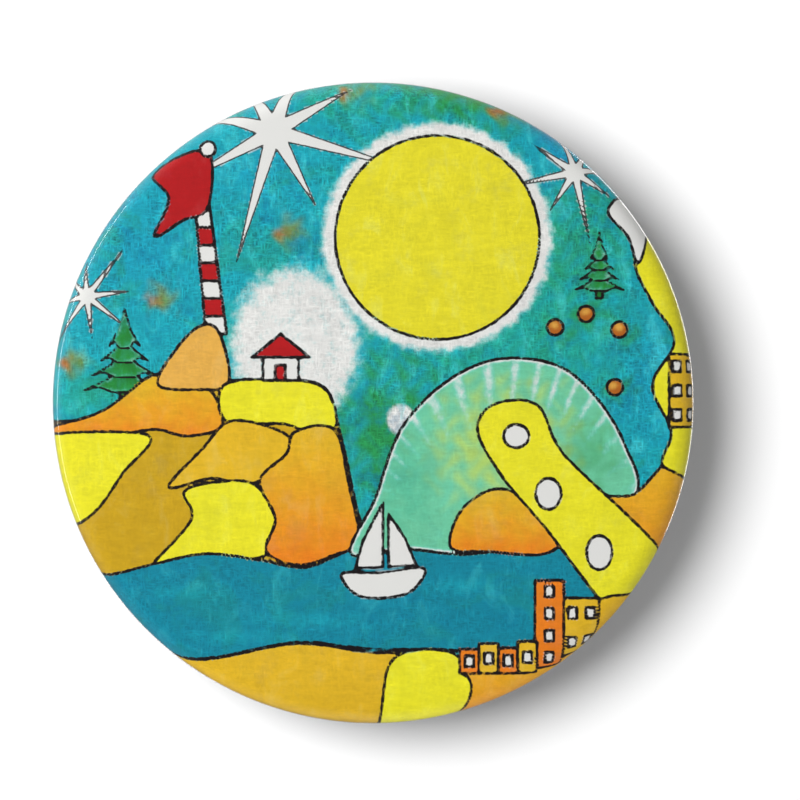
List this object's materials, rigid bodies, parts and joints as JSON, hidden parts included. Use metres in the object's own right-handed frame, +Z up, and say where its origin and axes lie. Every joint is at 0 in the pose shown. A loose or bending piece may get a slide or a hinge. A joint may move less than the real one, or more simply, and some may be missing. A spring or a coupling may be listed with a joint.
{
  "type": "pin-back button badge",
  "caption": "Round domed button badge with a printed paper face under clear film, a pressed back plate and a taped-on bar pin with a turning safety catch.",
  "frame": {"origin": "centre of the back plate's flat outer face", "axes": "+Y out of the back, so the printed face looks along -Y; +Z up as worn; +X to the right of someone looking at the face"},
  "size_m": [0.058, 0.0121, 0.058],
  "materials": {
    "film": "clear, glossy",
    "print": "printed paper under clear film",
    "tinplate": "tinned, satin",
    "back_tinplate": "tinned, satin",
    "foam_tape": "closed-cell foam, matt",
    "nickel": "nickel plated, bright",
    "rivet_nickel": "nickel plated, bright",
    "needle_steel": "polished steel",
    "catch_nickel": "nickel plated, bright"
  },
  "bodies": {
    "badge": {"clear_film": "film", "printed_paper": "print", "front_shell": "tinplate", "back_plate": "back_tinplate", "mounting_tape": "foam_tape", "pin_bar": "nickel", "hinge_rivet": "rivet_nickel"},
    "needle": {"pin_needle": "needle_steel"},
    "catch": {"safety_catch": "catch_nickel"}
  },
  "joints": [
    {"name": "needle_hinge", "type": "hinge", "parent": "badge", "child": "needle", "pos_m": [0.0162, 0.0042, 0.009], "axis": [0, 0, -1], "range_deg": [0, 100]},
    {"name": "catch_turn", "type": "hinge", "parent": "badge", "child": "catch", "pos_m": [-0.0162, 0.0042, 0.009], "axis": [-1, 0, 0], "range_deg": [0, 95]}
  ]
}
